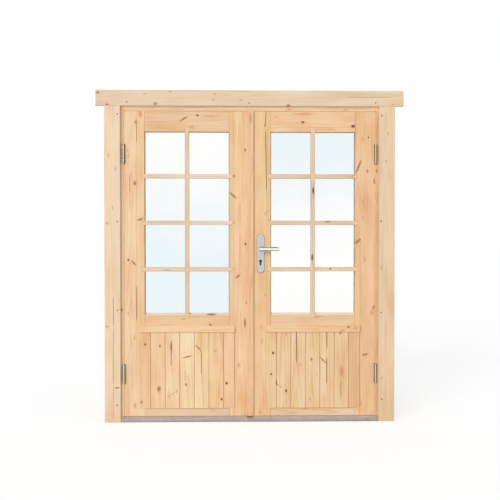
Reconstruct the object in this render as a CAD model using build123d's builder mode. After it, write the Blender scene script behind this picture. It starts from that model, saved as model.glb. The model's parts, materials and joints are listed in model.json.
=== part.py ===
from build123d import *
import os

os.makedirs("parts", exist_ok=True)

# Glazed double door in its timber frame, in millimetres.
# X runs to the right as seen from outside, Y into the building and Z up.
# The origin is on the floor, midway between the jambs, in the plane of the leaves' outer faces.

# Fits and cuts
overrun = 5  # how far a cut runs past the face that it opens
joint_fit = 0.2  # joinery, and hardware let into timber
running_fit = 0.05  # radial clearance of a turning or sliding metal fit

# Frame
doorway_height = 1838
jamb_thickness = 45
jamb_depth = 75
stop_projection = 15
stop_clearance = 2  # leaf's inner face to the stop
fixing_radius = 4.5
fixing_level = 300  # floor to the lower fixing hole
fixing_spacing = 1200

# Casings
casing_width = 94
casing_thickness = 20
casing_reveal = 16  # jamb left showing beside a side casing
head_reveal = 25  # head jamb left showing under the head casing
head_casing_height = 92
head_casing_overhang = 50
casing_ease = 2

# Threshold
threshold_height = 30
threshold_nose = 18  # reach in front of the leaves
threshold_nose_height = 16
threshold_wall = 3
upstand_height = 15

# Leaves
leaf_thickness = 40
leaf_gap = 4
meeting_shift = 16  # the leaves meet this far left of the middle, beside the cover strip
meeting_reach = 122  # middle of the doorway to the glass
hinge_stile_width = 120
glazed_width = 500
glazed_height = 1074
top_rail_height = 120
mid_rail_height = 130
bottom_rail_height = 100
tenon_length = 30
tenon_thickness = 10
tenon_setback = 19  # leaf's outer face to the tenon
tenon_shoulder = 15

# Glazing
front_lip = 18  # timber in front of the glass
glazing_rebate = 12
sill_fall = 10  # weathering on the middle rail, from the glass to its front edge
sill_land = 3
seal_thickness = 2
seal_sight = 4  # seal left showing inside the lip
glass_thickness = 4
glass_cover = 10  # glass behind the lip on each side
bead_ease = 6
bar_width = 26
bar_ease = 1.5
cross_bar_names = ("lower", "middle", "upper")
stile_housing = 18  # bar end let into a stile
rail_housing = 24  # bar end let into a rail

# Boarded panel
board_width = 86
full_board_count = 5
board_thickness = 18
board_gap = 0.4
board_seat_depth = 15
panel_lap = 31  # boards over each stile
bottom_rail_face = 45  # rail left showing under the boards
mid_rail_face = 71  # rail left showing over the cap strip
v_joint = 3
tongue_length = 6
tongue_thickness = 5
tongue_setback = 7  # board's outer face to its tongue
cap_height = 39
cap_lap = 20  # cap strip over the boards' ends
cap_projection = 12
cap_fall = 7

# Cover strip
strip_width = 38
strip_thickness = 14
strip_overhang = 2  # past the right leaf's meeting edge
strip_ease = 3

# Hinges
hinge_inset = 250  # leaf's top or bottom to the middle of the hinge
barrel_radius = 7.5
barrel_length = 115
barrel_standoff = 1  # barrel to the timber behind it
barrel_joint = 0.4  # between the two halves
hinge_pin_radius = 3.5
hinge_pin_length = 36
flap_thickness = 2
flap_width = 34  # let into the edge of the leaf or the jamb
flap_clearance = 0.8  # to the other half's barrel

# Handle set
spindle_height = 988  # leaf's bottom to the spindle
spindle_inset = 76  # right leaf's meeting edge to the spindle
spindle_size = 8
spindle_hole_radius = 6.5
socket_depth = 30
plate_width = 44
plate_height = 231
plate_rise = 89  # spindle to the plate's top
plate_thickness = 9
plate_ease = 2.5
neck_radius = 9
neck_seat = 2  # leaf's face to the neck's end
lever_standoff = 36  # plate to the back of the grip
grip_length = 104
grip_depth = 13
grip_height = 21
grip_bulge = 6
grip_corner = 6
grip_ease = 3

# Mortise lock
case_depth = 103
case_thickness = 15
case_rise = 45
case_drop = 110
forend_thickness = 3
forend_width = 22
forend_rise = 85
forend_drop = 155
latch_length = 44
latch_height = 18
latch_thickness = 12
latch_throw = 12
latch_flat = 2
bolt_drop = 58  # spindle to the dead bolt
bolt_length = 50
bolt_height = 22
bolt_thickness = 10
bolt_throw = 20
bolt_setback = 0.5  # dead bolt behind the forend when drawn
strike_thickness = 3
strike_rise = 60
strike_drop = 120
strike_pocket = 18
strike_room = 1.5  # round the bolts in the strike plate

# Profile cylinder
cylinder_drop = 72  # spindle to the plug's axis
cylinder_radius = 8.5
cylinder_height = 33
cylinder_tail = 10
cylinder_stand = 2  # past the plates
plug_radius = 6.7
key_slot_width = 2.5
key_slot_height = 8
key_slot_depth = 10

# Slide bolts
slide_inset = 52  # left leaf's meeting edge to the middle of the bar
slide_width = 14
slide_thickness = 8
slide_length = 200
slide_throw = 25
slide_tip_clearance = 4
slide_standoff = 10  # leaf's inner face to the middle of the bar
slide_hole_clearance = 1.5
guide_width = 36
guide_length = 150
guide_setback = 10  # bar's tip to the guide
guide_plate = 2
bridge_width = 24
bridge_length = 14
bridge_cover = 4
bridge_ease = 4
knob_radius = 4
knob_length = 22

# Places worked out from the sizes above
hinge_sight = meeting_reach + glazed_width
leaf_reach = hinge_sight + hinge_stile_width
half_doorway = leaf_reach + leaf_gap
stop_front = leaf_thickness + stop_clearance
stop_edge = half_doorway - stop_projection
jamb_outside = half_doorway + jamb_thickness
casing_inside = half_doorway + casing_reveal
casing_outside = casing_inside + casing_width
head_casing_bottom = doorway_height + head_reveal
head_stop_bottom = doorway_height - stop_projection
upstand_top = threshold_height + upstand_height

leaf_bottom = threshold_height + leaf_gap
leaf_top = doorway_height - leaf_gap
leaf_middle = leaf_thickness / 2
left_meeting_edge = -meeting_shift - leaf_gap / 2
right_meeting_edge = -meeting_shift + leaf_gap / 2
glass_top = leaf_top - top_rail_height
glass_bottom = glass_top - glazed_height
glass_front = front_lip + seal_thickness
glass_back = glass_front + glass_thickness
mid_rail_bottom = glass_bottom - mid_rail_height
bottom_rail_top = leaf_bottom + bottom_rail_height
rail_spans = {
    "top_rail": (glass_top, leaf_top),
    "mid_rail": (mid_rail_bottom, glass_bottom),
    "bottom_rail": (leaf_bottom, bottom_rail_top),
}
bar_centre = (hinge_sight + meeting_reach) / 2
bar_half = bar_width / 2
pane_pitch = (glazed_height + bar_width) / (len(cross_bar_names) + 1)
cross_bar_levels = [glass_bottom + pane_pitch * (n + 1) - bar_half for n in range(len(cross_bar_names))]
cap_top = glass_bottom - mid_rail_face
cap_bottom = cap_top - cap_height
board_top = cap_bottom + cap_lap
board_bottom = leaf_bottom + bottom_rail_face
board_front = board_seat_depth - board_thickness
panel_width = glazed_width + 2 * panel_lap

hinge_x = half_doorway - leaf_gap / 2
hinge_y = -barrel_radius - barrel_standoff
hinge_levels = {"upper": leaf_top - hinge_inset, "lower": leaf_bottom + hinge_inset}
spindle_x = right_meeting_edge + spindle_inset
spindle_level = leaf_bottom + spindle_height
bolt_level = spindle_level - bolt_drop
cylinder_level = spindle_level - cylinder_drop
cylinder_top = cylinder_level + cylinder_radius
cylinder_slot = (cylinder_top - cylinder_height - joint_fit, cylinder_top + joint_fit)
plate_top = spindle_level + plate_rise
plate_bottom = plate_top - plate_height
forend_back = right_meeting_edge + forend_thickness
case_back = forend_back + case_depth
slide_x = left_meeting_edge - slide_inset
slide_y = leaf_thickness + slide_standoff


def save(builder, name):
    builder.part.label = name
    export_step(builder.part, f"parts/{name}.step")


def block(x, y, z, mode=Mode.ADD):
    # A squared piece or cut between two places on each axis
    with Locations((sum(x) / 2, sum(y) / 2, sum(z) / 2)):
        Box(abs(x[1] - x[0]), abs(y[1] - y[0]), abs(z[1] - z[0]), mode=mode)


def around(centre, width):
    return (centre - width / 2, centre + width / 2)


def face_plane(y):
    # Front view at depth y: local x is X, local y is Z, and the normal points to the outside
    return Plane.XZ.offset(-y)


def cylinder_outline(clearance):
    # Profile cylinder seen from the front: a round head over a narrow round-ended tail
    tail_centre = cylinder_top - cylinder_height + cylinder_tail / 2
    with Locations((spindle_x, cylinder_level)):
        Circle(cylinder_radius + clearance)
    with Locations((spindle_x, (cylinder_level + tail_centre) / 2)):
        Rectangle(cylinder_tail + 2 * clearance, cylinder_level - tail_centre)
    with Locations((spindle_x, tail_centre)):
        Circle(cylinder_tail / 2 + clearance)


# Frame
def cut_hinge_seats(edge, inward):
    # Seats of the flaps in the edge of a leaf or a jamb; inward leads from the edge into the timber
    for middle in hinge_levels.values():
        block(
            (edge - inward * overrun, edge + inward * flap_thickness),
            (-overrun, flap_width + joint_fit),
            around(middle, barrel_length + 2 * joint_fit),
            Mode.SUBTRACT,
        )


def make_jamb(name, side):
    with BuildPart() as jamb:
        with BuildSketch():
            with BuildLine():
                Polyline(
                    (side * half_doorway, 0),
                    (side * jamb_outside, 0),
                    (side * jamb_outside, jamb_depth),
                    (side * stop_edge, jamb_depth),
                    (side * stop_edge, stop_front),
                    (side * half_doorway, stop_front),
                    close=True,
                )
            make_face()
        extrude(amount=doorway_height)
        # The foot is notched over the end of the threshold
        block(
            (side * (stop_edge - overrun), side * casing_inside),
            (-overrun, jamb_depth + overrun),
            (-overrun, threshold_height),
            Mode.SUBTRACT,
        )
        for level in (fixing_level, fixing_level + fixing_spacing):
            with BuildSketch(Plane.YZ.offset(side * (stop_edge - overrun))):
                with Locations(((stop_front + jamb_depth) / 2, level)):
                    Circle(fixing_radius)
            extrude(amount=side * (stop_projection + jamb_thickness + 2 * overrun), mode=Mode.SUBTRACT)
        cut_hinge_seats(side * half_doorway, side)
    save(jamb, name)


make_jamb("left_jamb", -1)
make_jamb("right_jamb", 1)

with BuildPart() as head_jamb:
    block((-jamb_outside, jamb_outside), (0, jamb_depth), (doorway_height, doorway_height + jamb_thickness))
    block((-stop_edge, stop_edge), (stop_front, jamb_depth), (head_stop_bottom, doorway_height))
    # Keep for the upper slide bolt
    block(
        around(slide_x, slide_width + 2 * slide_hole_clearance),
        around(slide_y, slide_thickness + 2 * slide_hole_clearance),
        (head_stop_bottom - overrun, head_stop_bottom + slide_throw),
        Mode.SUBTRACT,
    )
save(head_jamb, "head_jamb")

with BuildPart() as threshold:
    with BuildSketch(Plane.YZ.offset(-casing_inside)):
        with BuildLine():
            Polyline(
                (-threshold_nose, 0),
                (jamb_depth, 0),
                (jamb_depth, threshold_height),
                (0, threshold_height),
                (-threshold_nose, threshold_nose_height),
                close=True,
            )
        make_face()
        offset(amount=-threshold_wall, kind=Kind.INTERSECTION, mode=Mode.SUBTRACT)
        with Locations((leaf_middle, threshold_height / 2)):
            Rectangle(threshold_wall, threshold_height)
    extrude(amount=2 * casing_inside)
    with BuildSketch(Plane.YZ.offset(-stop_edge)):
        with Locations(((stop_front + jamb_depth) / 2, threshold_height + upstand_height / 2)):
            Rectangle(jamb_depth - stop_front, upstand_height)
            Rectangle(
                jamb_depth - stop_front - 2 * threshold_wall,
                upstand_height - 2 * threshold_wall,
                mode=Mode.SUBTRACT,
            )
    extrude(amount=2 * stop_edge)
    # Keep for the lower slide bolt
    block(
        around(slide_x, slide_width + 2 * slide_hole_clearance),
        around(slide_y, slide_thickness + 2 * slide_hole_clearance),
        (upstand_top - slide_throw, upstand_top + overrun),
        Mode.SUBTRACT,
    )
save(threshold, "threshold")


def make_casing(name, x, z):
    with BuildPart() as casing:
        block(x, (-casing_thickness, 0), z)
        chamfer(casing.faces().sort_by(Axis.Y)[0].edges(), casing_ease)
    save(casing, name)


make_casing("left_casing", (-casing_outside, -casing_inside), (0, head_casing_bottom))
make_casing("right_casing", (casing_inside, casing_outside), (0, head_casing_bottom))
make_casing(
    "head_casing",
    (-casing_outside - head_casing_overhang, casing_outside + head_casing_overhang),
    (head_casing_bottom, head_casing_bottom + head_casing_height),
)


# Hinges: the lower half is in the frame and holds the pin, the upper half is in the leaf
def make_hinge_half(name, side, middle, up):
    joint = middle + up * barrel_joint / 2
    end = middle + up * barrel_length / 2
    edge = side * (half_doorway if up < 0 else leaf_reach)
    flap = (edge, edge - up * side * flap_thickness)
    with BuildPart() as half:
        with BuildSketch(Plane.XY.offset(joint)):
            with Locations((side * hinge_x, hinge_y)):
                Circle(barrel_radius)
        extrude(amount=end - joint)
        # The flap lies behind both barrels and joins its own
        block(flap, (flap_clearance, flap_width), around(middle, barrel_length))
        block(flap, (hinge_y, flap_clearance), sorted((joint, end)))
        with BuildSketch(Plane.XY.offset(joint)):
            with Locations((side * hinge_x, hinge_y)):
                Circle(hinge_pin_radius if up < 0 else hinge_pin_radius + running_fit)
        if up < 0:
            extrude(amount=hinge_pin_length)
        else:
            extrude(amount=hinge_pin_length + joint_fit, mode=Mode.SUBTRACT)
    save(half, name)


for side_name, side in (("left", -1), ("right", 1)):
    for level_name, middle in hinge_levels.items():
        make_hinge_half(f"{side_name}_{level_name}_hinge_frame_half", side, middle, -1)
        make_hinge_half(f"{side_name}_{level_name}_hinge_leaf_half", side, middle, 1)


# Leaves
def cut_stile_seats(sight, outward):
    # Rebates, bar housings and mortises along a stile's inner edge; outward leads away from the glass
    clear = sight - outward * overrun
    block(
        (clear, sight + outward * glazing_rebate),
        (front_lip, leaf_thickness + overrun),
        (glass_bottom - glazing_rebate, glass_top + glazing_rebate),
        Mode.SUBTRACT,
    )
    block(
        (clear, sight + outward * panel_lap),
        (-overrun, board_seat_depth),
        (board_bottom, cap_top),
        Mode.SUBTRACT,
    )
    for level in cross_bar_levels:
        block(
            (clear, sight + outward * (stile_housing + joint_fit)),
            (-overrun, front_lip),
            around(level, bar_width + 2 * joint_fit),
            Mode.SUBTRACT,
        )
    for low, high in rail_spans.values():
        block(
            (clear, sight + outward * (tenon_length + joint_fit)),
            (tenon_setback - joint_fit, tenon_setback + tenon_thickness + joint_fit),
            (low + tenon_shoulder - joint_fit, high - tenon_shoulder + joint_fit),
            Mode.SUBTRACT,
        )


def make_hinge_stile(name, side):
    with BuildPart() as stile:
        block((side * hinge_sight, side * leaf_reach), (0, leaf_thickness), (leaf_bottom, leaf_top))
        cut_stile_seats(side * hinge_sight, side)
        cut_hinge_seats(side * leaf_reach, -side)
    save(stile, name)


def make_rail(name, side, low, high):
    shoulders = (side * meeting_reach, side * hinge_sight)
    with BuildPart() as rail:
        block(shoulders, (0, leaf_thickness), (low, high))
        block(
            (shoulders[0] - side * tenon_length, shoulders[1] + side * tenon_length),
            (tenon_setback, tenon_setback + tenon_thickness),
            (low + tenon_shoulder, high - tenon_shoulder),
        )
        # Glazing rebate behind the lip, where this rail borders the glass
        block(
            shoulders,
            (front_lip, leaf_thickness + overrun),
            (glass_bottom - glazing_rebate, glass_top + glazing_rebate),
            Mode.SUBTRACT,
        )
        block(
            around(side * bar_centre, bar_width + 2 * joint_fit),
            (-overrun, front_lip),
            (glass_bottom - rail_housing - joint_fit, glass_top + rail_housing + joint_fit),
            Mode.SUBTRACT,
        )
        # Weathering in front of the glass, on the middle rail
        with BuildSketch(Plane.YZ.offset(min(shoulders))):
            with BuildLine():
                Polyline(
                    (0, glass_bottom - sill_fall),
                    (0, glass_bottom),
                    (front_lip - sill_land, glass_bottom),
                    close=True,
                )
            make_face()
        extrude(amount=glazed_width, mode=Mode.SUBTRACT)
        # Seat for the boards and the cap strip
        block(shoulders, (-overrun, board_seat_depth), (board_bottom, cap_top), Mode.SUBTRACT)
    save(rail, name)


def make_bars(leaf, side):
    with BuildPart() as vertical_bar:
        block(
            around(side * bar_centre, bar_width),
            (0, front_lip),
            (glass_bottom - rail_housing, glass_top + rail_housing),
        )
        chamfer(vertical_bar.faces().sort_by(Axis.Y)[0].edges().filter_by(Axis.Z), bar_ease)
        for level in cross_bar_levels:
            block(
                around(side * bar_centre, bar_width + 2 * overrun),
                (front_lip / 2, front_lip + overrun),
                around(level, bar_width + 2 * joint_fit),
                Mode.SUBTRACT,
            )
    save(vertical_bar, f"{leaf}_vertical_bar")
    for level_name, level in zip(cross_bar_names, cross_bar_levels):
        with BuildPart() as cross_bar:
            block(
                (side * (meeting_reach - stile_housing), side * (hinge_sight + stile_housing)),
                (0, front_lip),
                around(level, bar_width),
            )
            chamfer(cross_bar.faces().sort_by(Axis.Y)[0].edges().filter_by(Axis.X), bar_ease)
            block(
                around(side * bar_centre, bar_width + 2 * joint_fit),
                (-overrun, front_lip / 2 + joint_fit),
                around(level, bar_width + 2 * overrun),
                Mode.SUBTRACT,
            )
        save(cross_bar, f"{leaf}_{level_name}_cross_bar")


def make_glazing(leaf, side):
    glass_x = (side * (meeting_reach - glass_cover), side * (hinge_sight + glass_cover))
    glass_z = (glass_bottom - glass_cover, glass_top + glass_cover)
    with BuildPart() as seal:
        block(glass_x, (front_lip, glass_front), glass_z)
        block(
            (side * (meeting_reach + seal_sight), side * (hinge_sight - seal_sight)),
            (front_lip, glass_front),
            (glass_bottom + seal_sight, glass_top - seal_sight),
            Mode.SUBTRACT,
        )
    save(seal, f"{leaf}_glazing_seal")
    with BuildPart() as glass:
        block(glass_x, (glass_front, glass_back), glass_z)
    save(glass, f"{leaf}_glass")
    with BuildPart() as beads:
        for sight, outward in ((meeting_reach, -side), (hinge_sight, side)):
            edge = side * sight
            with BuildSketch(Plane.XY.offset(glass_bottom - glazing_rebate)):
                with BuildLine():
                    Polyline(
                        (edge, glass_back),
                        (edge + outward * glazing_rebate, glass_back),
                        (edge + outward * glazing_rebate, leaf_thickness),
                        (edge + outward * bead_ease, leaf_thickness),
                        (edge, leaf_thickness - bead_ease),
                        close=True,
                    )
                make_face()
            extrude(amount=glazed_height + 2 * glazing_rebate)
        for edge, outward in ((glass_bottom, -1), (glass_top, 1)):
            with BuildSketch(Plane.YZ.offset(side * (meeting_reach + hinge_sight) / 2)):
                with BuildLine():
                    Polyline(
                        (glass_back, edge),
                        (glass_back, edge + outward * glazing_rebate),
                        (leaf_thickness, edge + outward * glazing_rebate),
                        (leaf_thickness, edge + outward * bead_ease),
                        (leaf_thickness - bead_ease, edge),
                        close=True,
                    )
                make_face()
            extrude(amount=glazed_width / 2 - joint_fit, both=True)
    save(beads, f"{leaf}_glazing_beads")


def board_outline(left, right, grooved, tongued):
    # Section of one board; the outer face is chamfered at both edges, so that each joint shows as a V
    tongue_front = board_front + tongue_setback
    tongue_back = tongue_front + tongue_thickness
    groove_end = left + tongue_length + joint_fit
    groove = [
        (left, tongue_back + joint_fit),
        (groove_end, tongue_back + joint_fit),
        (groove_end, tongue_front - joint_fit),
        (left, tongue_front - joint_fit),
    ]
    tongue = [
        (right, tongue_front),
        (right + tongue_length, tongue_front),
        (right + tongue_length, tongue_back),
        (right, tongue_back),
    ]
    return [
        (left + v_joint, board_front),
        (right - v_joint, board_front),
        (right, board_front + v_joint),
        *(tongue if tongued else []),
        (right, board_seat_depth),
        (left, board_seat_depth),
        *(groove if grooved else []),
        (left, board_front + v_joint),
    ]


def make_panel(leaf, side):
    start = min(side * (meeting_reach - panel_lap), side * (hinge_sight + panel_lap))
    edge_board_width = (panel_width - full_board_count * board_width) / 2
    widths = [edge_board_width] + [board_width] * full_board_count + [edge_board_width]
    with BuildPart() as boards:
        for n, width in enumerate(widths):
            left = start + sum(widths[:n]) + board_gap / 2
            right = left + width - board_gap
            with BuildSketch(Plane.XY.offset(board_bottom)):
                with BuildLine():
                    Polyline(*board_outline(left, right, n > 0, n < len(widths) - 1), close=True)
                make_face()
            extrude(amount=board_top - board_bottom)
    save(boards, f"{leaf}_panel_boards")
    cap_front = -cap_projection
    with BuildPart() as cap:
        with BuildSketch(Plane.YZ.offset(start)):
            with BuildLine():
                Polyline(
                    (board_front, cap_bottom),
                    (cap_front, cap_bottom),
                    (cap_front, cap_top - cap_fall),
                    (0, cap_top),
                    (board_seat_depth, cap_top),
                    (board_seat_depth, board_top),
                    (board_front, board_top),
                    close=True,
                )
            make_face()
        extrude(amount=panel_width)
    save(cap, f"{leaf}_panel_cap")


for leaf, side in (("left", -1), ("right", 1)):
    make_hinge_stile(f"{leaf}_hinge_stile", side)
    for rail_name, (low, high) in rail_spans.items():
        make_rail(f"{leaf}_{rail_name}", side, low, high)
    make_bars(leaf, side)
    make_glazing(leaf, side)
    make_panel(leaf, side)

with BuildPart() as left_meeting_stile:
    block((-meeting_reach, left_meeting_edge), (0, leaf_thickness), (leaf_bottom, leaf_top))
    cut_stile_seats(-meeting_reach, 1)
    # Seat of the strike plate, and the pockets behind it
    block(
        (left_meeting_edge - strike_thickness, left_meeting_edge + overrun),
        around(leaf_middle, forend_width + 2 * joint_fit),
        (spindle_level - strike_drop - joint_fit, spindle_level + strike_rise + joint_fit),
        Mode.SUBTRACT,
    )
    for level, height, thickness in (
        (spindle_level, latch_height, latch_thickness),
        (bolt_level, bolt_height, bolt_thickness),
    ):
        block(
            (left_meeting_edge - strike_thickness - strike_pocket, left_meeting_edge),
            around(leaf_middle, thickness + 2 * strike_room),
            around(level, height + 2 * strike_room),
            Mode.SUBTRACT,
        )
save(left_meeting_stile, "left_meeting_stile")

with BuildPart() as strike_plate:
    block(
        (left_meeting_edge - strike_thickness, left_meeting_edge),
        around(leaf_middle, forend_width),
        (spindle_level - strike_drop, spindle_level + strike_rise),
    )
    for level, height, thickness in (
        (spindle_level, latch_height, latch_thickness),
        (bolt_level, bolt_height, bolt_thickness),
    ):
        block(
            (left_meeting_edge - strike_thickness - overrun, left_meeting_edge + overrun),
            around(leaf_middle, thickness + 2 * strike_room),
            around(level, height + 2 * strike_room),
            Mode.SUBTRACT,
        )
save(strike_plate, "strike_plate")

with BuildPart() as right_meeting_stile:
    block((right_meeting_edge, meeting_reach), (0, leaf_thickness), (leaf_bottom, leaf_top))
    cut_stile_seats(meeting_reach, -1)
    # Mortise of the lock and the seat of its forend
    block(
        (right_meeting_edge - overrun, case_back + joint_fit),
        around(leaf_middle, case_thickness + 2 * joint_fit),
        (spindle_level - case_drop - joint_fit, spindle_level + case_rise + joint_fit),
        Mode.SUBTRACT,
    )
    block(
        (right_meeting_edge - overrun, forend_back),
        around(leaf_middle, forend_width + 2 * joint_fit),
        (spindle_level - forend_drop - joint_fit, spindle_level + forend_rise + joint_fit),
        Mode.SUBTRACT,
    )
    # Slot behind the plates for the spindle and the cylinder
    block(
        around(spindle_x, 2 * (cylinder_radius + joint_fit)),
        (-overrun, leaf_thickness + overrun),
        (cylinder_slot[0], spindle_level + spindle_hole_radius),
        Mode.SUBTRACT,
    )
save(right_meeting_stile, "right_meeting_stile")

with BuildPart() as cover_strip:
    strip_left = right_meeting_edge - strip_overhang
    block((strip_left, strip_left + strip_width), (-strip_thickness, 0), (leaf_bottom, leaf_top))
    chamfer(cover_strip.faces().sort_by(Axis.Y)[0].edges().filter_by(Axis.Z), strip_ease)
save(cover_strip, "cover_strip")


# Handle set: out is -1 on the outer face of the leaf and 1 on the inner face
def make_plate(name, face, out):
    with BuildPart() as plate:
        with BuildSketch(face_plane(face)):
            with Locations((spindle_x, (plate_top + plate_bottom) / 2)):
                SlotOverall(plate_height, plate_width, rotation=90)
        extrude(amount=-out * plate_thickness)
        chamfer(plate.faces().sort_by(Axis.Y)[0 if out < 0 else -1].edges(), plate_ease)
        with BuildSketch(face_plane(face)):
            with Locations((spindle_x, spindle_level)):
                Circle(neck_radius + running_fit)
            cylinder_outline(joint_fit)
        extrude(amount=-out * plate_thickness, mode=Mode.SUBTRACT)
    save(plate, name)


def make_lever(name, face, out):
    grip_back = face + out * (plate_thickness + lever_standoff)
    neck_end = face + out * neck_seat
    tip_x = spindle_x + grip_length
    grip_top = spindle_level + grip_height / 2
    grip_bottom = spindle_level - grip_height / 2
    with BuildPart() as lever:
        with BuildSketch(face_plane(grip_back)) as outline:
            with BuildLine():
                ThreePointArc(
                    (spindle_x, grip_bottom),
                    (spindle_x - grip_height / 2, spindle_level),
                    (spindle_x, grip_top),
                )
                Line((spindle_x, grip_top), (tip_x, grip_top))
                ThreePointArc(
                    (tip_x, grip_top),
                    (tip_x + grip_bulge, spindle_level),
                    (tip_x, grip_bottom),
                )
                Line((tip_x, grip_bottom), (spindle_x, grip_bottom))
            make_face()
            fillet(outline.vertices().sort_by(Axis.X)[-2:], grip_corner)
        extrude(amount=-out * grip_depth)
        chamfer(lever.faces().sort_by(Axis.Y)[0 if out < 0 else -1].edges(), grip_ease)
        with BuildSketch(face_plane(grip_back)):
            with Locations((spindle_x, spindle_level)):
                Circle(neck_radius)
        extrude(amount=out * abs(grip_back - neck_end))
        with BuildSketch(face_plane(neck_end)):
            with Locations((spindle_x, spindle_level)):
                Rectangle(spindle_size + 2 * running_fit, spindle_size + 2 * running_fit)
        extrude(amount=-out * socket_depth, mode=Mode.SUBTRACT)
    save(lever, name)


for handle_side, face, out in (("outer", 0, -1), ("inner", leaf_thickness, 1)):
    make_plate(f"{handle_side}_handle_plate", face, out)
    make_lever(f"{handle_side}_lever", face, out)

socket_end = neck_seat + socket_depth - joint_fit
with BuildPart() as spindle:
    block(
        around(spindle_x, spindle_size),
        (-socket_end, leaf_thickness + socket_end),
        around(spindle_level, spindle_size),
    )
save(spindle, "spindle")

# Lock
with BuildPart() as lock_case:
    block(
        (forend_back, case_back),
        around(leaf_middle, case_thickness),
        (spindle_level - case_drop, spindle_level + case_rise),
    )
    block(
        (right_meeting_edge, forend_back),
        around(leaf_middle, forend_width),
        (spindle_level - forend_drop, spindle_level + forend_rise),
    )
    block(
        (right_meeting_edge - overrun, right_meeting_edge + latch_length + joint_fit),
        around(leaf_middle, latch_thickness + 2 * running_fit),
        around(spindle_level, latch_height + 2 * running_fit),
        Mode.SUBTRACT,
    )
    block(
        (right_meeting_edge - overrun, right_meeting_edge + bolt_setback + bolt_length + joint_fit),
        around(leaf_middle, bolt_thickness + 2 * running_fit),
        around(bolt_level, bolt_height + 2 * running_fit),
        Mode.SUBTRACT,
    )
    with BuildSketch(face_plane(leaf_middle)):
        with Locations((spindle_x, spindle_level)):
            Circle(spindle_hole_radius)
    extrude(amount=case_thickness, both=True, mode=Mode.SUBTRACT)
    block(
        around(spindle_x, 2 * (cylinder_radius + joint_fit)),
        around(leaf_middle, case_thickness + 2 * overrun),
        cylinder_slot,
        Mode.SUBTRACT,
    )
save(lock_case, "lock_case")

# The latch bolt rests thrown, with its bevel towards the building; the dead bolt rests drawn
with BuildPart() as latch_bolt:
    latch_nose = right_meeting_edge - latch_throw
    latch_front = leaf_middle - latch_thickness / 2
    latch_back = leaf_middle + latch_thickness / 2
    with BuildSketch(Plane.XY.offset(spindle_level - latch_height / 2)):
        with BuildLine():
            Polyline(
                (latch_nose, latch_front),
                (latch_nose + latch_length, latch_front),
                (latch_nose + latch_length, latch_back),
                (right_meeting_edge, latch_back),
                (latch_nose, latch_front + latch_flat),
                close=True,
            )
        make_face()
    extrude(amount=latch_height)
save(latch_bolt, "latch_bolt")

with BuildPart() as dead_bolt:
    bolt_nose = right_meeting_edge + bolt_setback
    block(
        (bolt_nose, bolt_nose + bolt_length),
        around(leaf_middle, bolt_thickness),
        around(bolt_level, bolt_height),
    )
save(dead_bolt, "dead_bolt")

# Profile cylinder and its plug
cylinder_ends = (-plate_thickness - cylinder_stand, leaf_thickness + plate_thickness + cylinder_stand)
with BuildPart() as lock_cylinder:
    with BuildSketch(face_plane(cylinder_ends[0])):
        cylinder_outline(0)
        with Locations((spindle_x, cylinder_level)):
            Circle(plug_radius + running_fit, mode=Mode.SUBTRACT)
    extrude(amount=cylinder_ends[0] - cylinder_ends[1])
save(lock_cylinder, "lock_cylinder")

with BuildPart() as cylinder_plug:
    with BuildSketch(face_plane(cylinder_ends[0])):
        with Locations((spindle_x, cylinder_level)):
            Circle(plug_radius)
    extrude(amount=cylinder_ends[0] - cylinder_ends[1])
    for end, inward in ((cylinder_ends[0], 1), (cylinder_ends[1], -1)):
        block(
            around(spindle_x, key_slot_width),
            (end - inward * overrun, end + inward * key_slot_depth),
            around(cylinder_level, key_slot_height),
            Mode.SUBTRACT,
        )
save(cylinder_plug, "cylinder_plug")


# Slide bolts on the inner face of the left leaf, drawn at rest; up is 1 for the upper and -1 for the lower
def make_slide_bolt(level_name, tip, up):
    guide_end = tip - up * guide_setback
    guide_start = guide_end - up * guide_length
    with BuildPart() as guide:
        block(
            around(slide_x, guide_width),
            (leaf_thickness, leaf_thickness + guide_plate),
            (guide_start, guide_end),
        )
        bridge_top = slide_y + slide_thickness / 2 + bridge_cover
        for bridge_end in (guide_start, guide_end - up * bridge_length):
            bridge = (bridge_end, bridge_end + up * bridge_length)
            with BuildSketch(Plane.XY.offset(min(bridge))):
                with BuildLine():
                    Polyline(
                        (slide_x - bridge_width / 2, leaf_thickness),
                        (slide_x + bridge_width / 2, leaf_thickness),
                        (slide_x + bridge_width / 2, bridge_top - bridge_ease),
                        (slide_x + bridge_width / 2 - bridge_ease, bridge_top),
                        (slide_x - bridge_width / 2 + bridge_ease, bridge_top),
                        (slide_x - bridge_width / 2, bridge_top - bridge_ease),
                        close=True,
                    )
                make_face()
                with Locations((slide_x, slide_y)):
                    Rectangle(
                        slide_width + 2 * running_fit,
                        slide_thickness + 2 * running_fit,
                        mode=Mode.SUBTRACT,
                    )
            extrude(amount=bridge_length)
    save(guide, f"{level_name}_bolt_guide")
    with BuildPart() as rod:
        block(
            around(slide_x, slide_width),
            around(slide_y, slide_thickness),
            (tip - up * slide_length, tip),
        )
        # The knob rests against the bridge that is further from the tip
        with BuildSketch(face_plane(slide_y)):
            with Locations((slide_x, guide_start + up * (bridge_length + knob_radius + joint_fit))):
                Circle(knob_radius)
        extrude(amount=-knob_length)
    save(rod, f"{level_name}_bolt_rod")


make_slide_bolt("upper", head_stop_bottom - slide_tip_clearance, 1)
make_slide_bolt("lower", upstand_top + slide_tip_clearance, -1)
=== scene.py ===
import json
import math
import bpy
import bmesh
from mathutils import Matrix, Vector


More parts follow.
